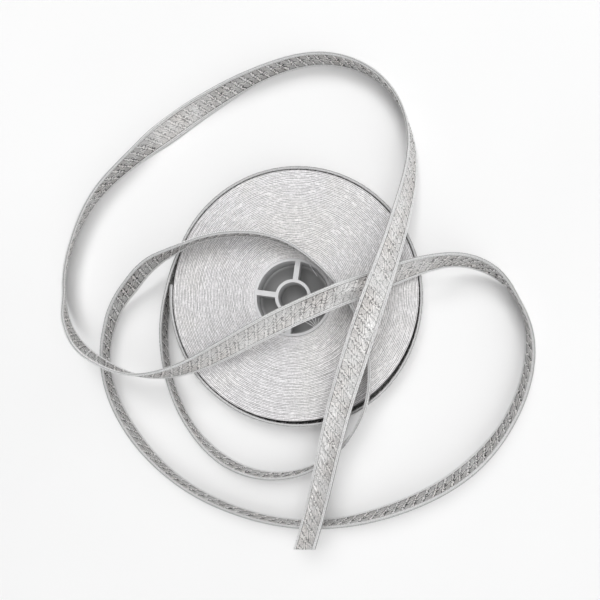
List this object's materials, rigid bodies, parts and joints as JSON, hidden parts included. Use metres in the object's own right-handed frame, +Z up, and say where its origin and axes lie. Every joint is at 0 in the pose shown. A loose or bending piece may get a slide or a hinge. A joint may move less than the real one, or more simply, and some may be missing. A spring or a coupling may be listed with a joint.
{
  "type": "roll of metallic braid trim",
  "caption": "Flat roll of narrow metallic braid wound on a spoked plastic core, with a long loose end lying in wide loops round and over the roll.",
  "frame": {"origin": "middle of the wound roll, on the surface that it lies on", "axes": "+Z up along the roll's axis, +Y towards the top of the picture, +X towards its right"},
  "size_m": [0.2011, 0.2045, 0.0286],
  "materials": {
    "core_plastic": "light grey moulded plastic, satin",
    "braid_edges": "edges of tightly wound silver braid, ridged ring by ring",
    "silver_braid": "silver metallic braid with a raised slanted pattern and corded borders"
  },
  "bodies": {
    "root": {"core": "core_plastic", "wound_roll": "braid_edges", "loose_end": "silver_braid"}
  },
  "joints": []
}
